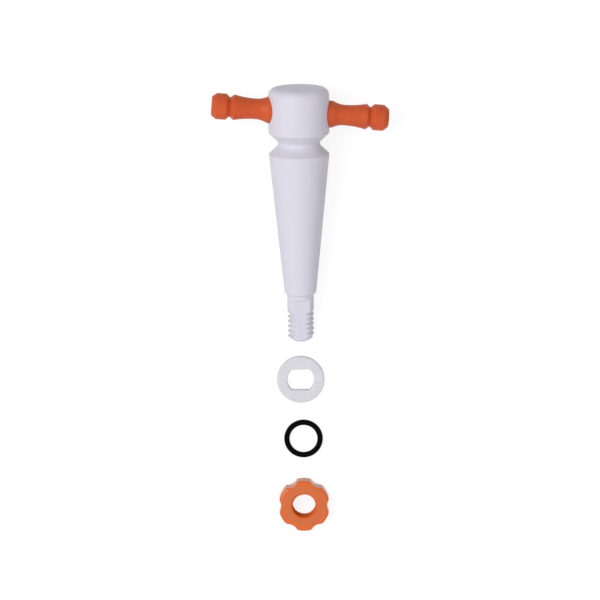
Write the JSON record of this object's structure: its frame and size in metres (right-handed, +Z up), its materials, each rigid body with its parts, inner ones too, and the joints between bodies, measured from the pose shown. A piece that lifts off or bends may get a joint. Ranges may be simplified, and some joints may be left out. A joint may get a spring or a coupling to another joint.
{
  "type": "stopcock plug set",
  "caption": "Tapered stopcock plug with a cross handle through its head, lying in a row with its keyed washer, O-ring and lobed retaining nut.",
  "frame": {"origin": "under the middle of the set as it lies on a bench, at the height of the bench", "axes": "+Z up from the bench; +Y along the row, from the nut to the plug's head; +X to the right, seen from above with the head away"},
  "size_m": [0.0527, 0.137, 0.0197],
  "materials": {
    "ptfe": "turned white PTFE, waxy and slightly translucent",
    "handle_plastic": "moulded orange polypropylene, satin",
    "nut_plastic": "moulded orange polypropylene, satin",
    "o_ring_rubber": "moulded black rubber, semi-matt"
  },
  "bodies": {
    "root": {"plug": "ptfe", "handle": "handle_plastic", "washer": "ptfe", "o_ring": "o_ring_rubber", "nut": "nut_plastic"}
  },
  "joints": []
}
